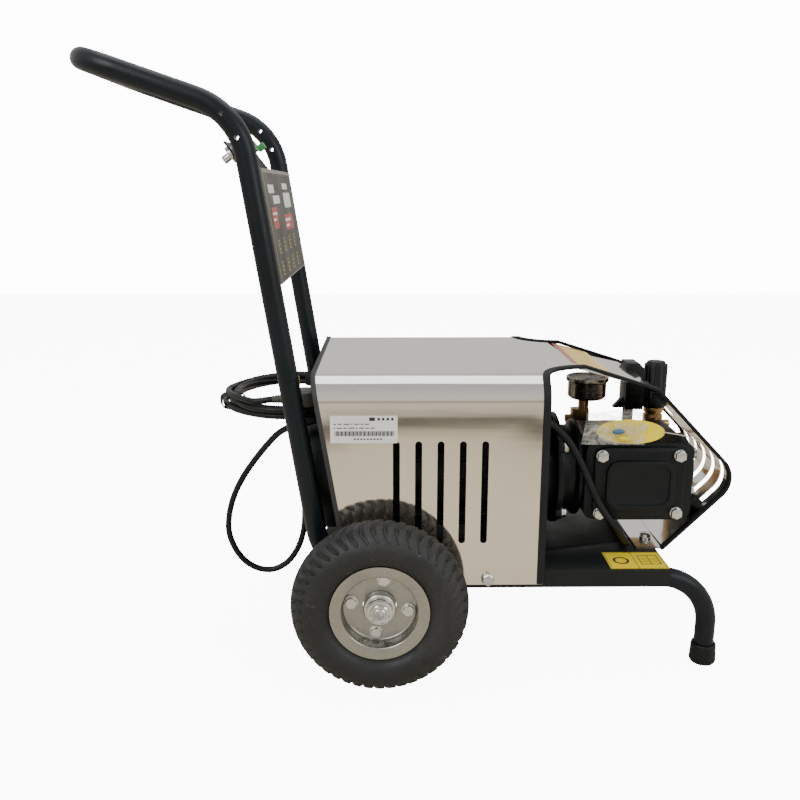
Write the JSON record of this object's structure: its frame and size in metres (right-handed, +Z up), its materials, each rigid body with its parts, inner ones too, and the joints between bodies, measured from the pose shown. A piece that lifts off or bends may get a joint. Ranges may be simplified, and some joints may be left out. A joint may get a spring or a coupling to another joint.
{
  "type": "electric pressure washer",
  "caption": "Electric pressure washer on a tubular trolley with pneumatic wheels, push handle, steel cover, motor, pump, gauge and pressure knob.",
  "frame": {"origin": "on the floor under the middle of the overall length and width, without the mains cord", "axes": "+X towards the pump end, +Y towards the machine's left when standing at the handle, +Z up; the wheel axle is parallel to Y"},
  "size_m": [0.8215, 0.462, 0.7675],
  "materials": {
    "black_paint": "satin black powder coat with a faint blue cast",
    "stainless": "bright rolled stainless sheet, nearly mirror-like",
    "zinc": "bright zinc plate on steel",
    "rubber": "matt black rubber edging and feet",
    "tyre": "black moulded tyre rubber with moulded lugs",
    "black_plastic": "black moulded plastic",
    "brass": "machined brass, slightly dull",
    "cast_black": "cast housing painted satin black",
    "panel_grey": "grey painted sheet",
    "circuit_green": "green solder-masked circuit board",
    "dark_chrome": "dark plated pressed steel",
    "glass": "clear flat glass",
    "needle_black": "black enamelled pointer",
    "cord_rubber": "black rubber-sheathed flexible cord"
  },
  "bodies": {
    "trolley": {"axle": "zinc", "axle_nut_left": "zinc", "axle_nut_right": "zinc", "base_tray": "black_paint", "bell_housing": "cast_black", "circuit_board": "circuit_green", "control_panel": "panel_grey", "cord_coil": "cord_rubber", "cord_gland": "black_plastic", "cover_bolt_left": "zinc", "cover_bolt_nose": "zinc", "cover_bolt_right": "zinc", "cover_shell": "stainless", "cover_trim_left": "rubber", "cover_trim_rear": "rubber", "cover_trim_right": "rubber", "crankcase": "cast_black", "crankcase_bolt_1": "zinc", "crankcase_bolt_2": "zinc", "crankcase_bolt_3": "zinc", "crankcase_bolt_4": "zinc", "crankcase_cover": "cast_black", "fan_cowl": "black_plastic", "foot_cap_left": "rubber", "foot_cap_right": "rubber", "frame_rail_left": "black_paint", "frame_rail_right": "black_paint", "gauge_case": "dark_chrome", "gauge_fitting": "brass", "gauge_lens": "glass", "handle_tube": "black_paint", "inlet_coupling": "brass", "motor_end_bell": "cast_black", "motor_housing": "cast_black", "oil_cap": "black_plastic", "outlet_coupling": "brass", "power_cord": "cord_rubber", "power_plug": "cord_rubber", "pressure_switch": "black_plastic", "pump_head": "brass", "switch_body": "zinc", "switch_lead": "cord_rubber", "switch_plate": "black_paint", "terminal_box": "black_plastic", "terminal_box_lid": "black_plastic", "unloader_body": "brass"},
    "wheel_right": {"tyre_right": "tyre", "rim_outer_right": "zinc", "rim_inner_right": "zinc", "wheel_hub_right": "zinc"},
    "wheel_left": {"tyre_left": "tyre", "rim_outer_left": "zinc", "rim_inner_left": "zinc", "wheel_hub_left": "zinc"},
    "motor_rotor": {"cooling_fan": "black_plastic", "motor_shaft": "zinc"},
    "pressure_knob": {"unloader_knob": "black_plastic"},
    "gauge_pointer": {"gauge_needle": "needle_black"},
    "push_button": {"start_button": "zinc"}
  },
  "joints": [
    {"name": "right_wheel_spin", "type": "hinge", "parent": "trolley", "child": "wheel_right", "pos_m": [-0.0541, -0.199, 0.11], "axis": [0, 1, 0], "continuous": true},
    {"name": "left_wheel_spin", "type": "hinge", "parent": "trolley", "child": "wheel_left", "pos_m": [-0.0541, 0.199, 0.11], "axis": [0, 1, 0], "continuous": true},
    {"name": "motor_spin", "type": "hinge", "parent": "trolley", "child": "motor_rotor", "pos_m": [0.0459, -0.035, 0.235], "axis": [1, 0, 0], "continuous": true},
    {"name": "knob_turn", "type": "hinge", "parent": "trolley", "child": "pressure_knob", "pos_m": [0.3454, 0.05, 0.33], "axis": [0, 0, 1], "range_deg": [0, 1080]},
    {"name": "gauge_sweep", "type": "hinge", "parent": "trolley", "child": "gauge_pointer", "pos_m": [0.2464, 0.05, 0.3395], "axis": [0, 0, -1], "range_deg": [0, 270], "stiffness_Nm_per_rad": 0.0005},
    {"name": "button_press", "type": "slide", "parent": "trolley", "child": "push_button", "axis": [0.7961, 0, 0.6052], "range_m": [0, 0.003], "stiffness_N_per_m": 600}
  ]
}
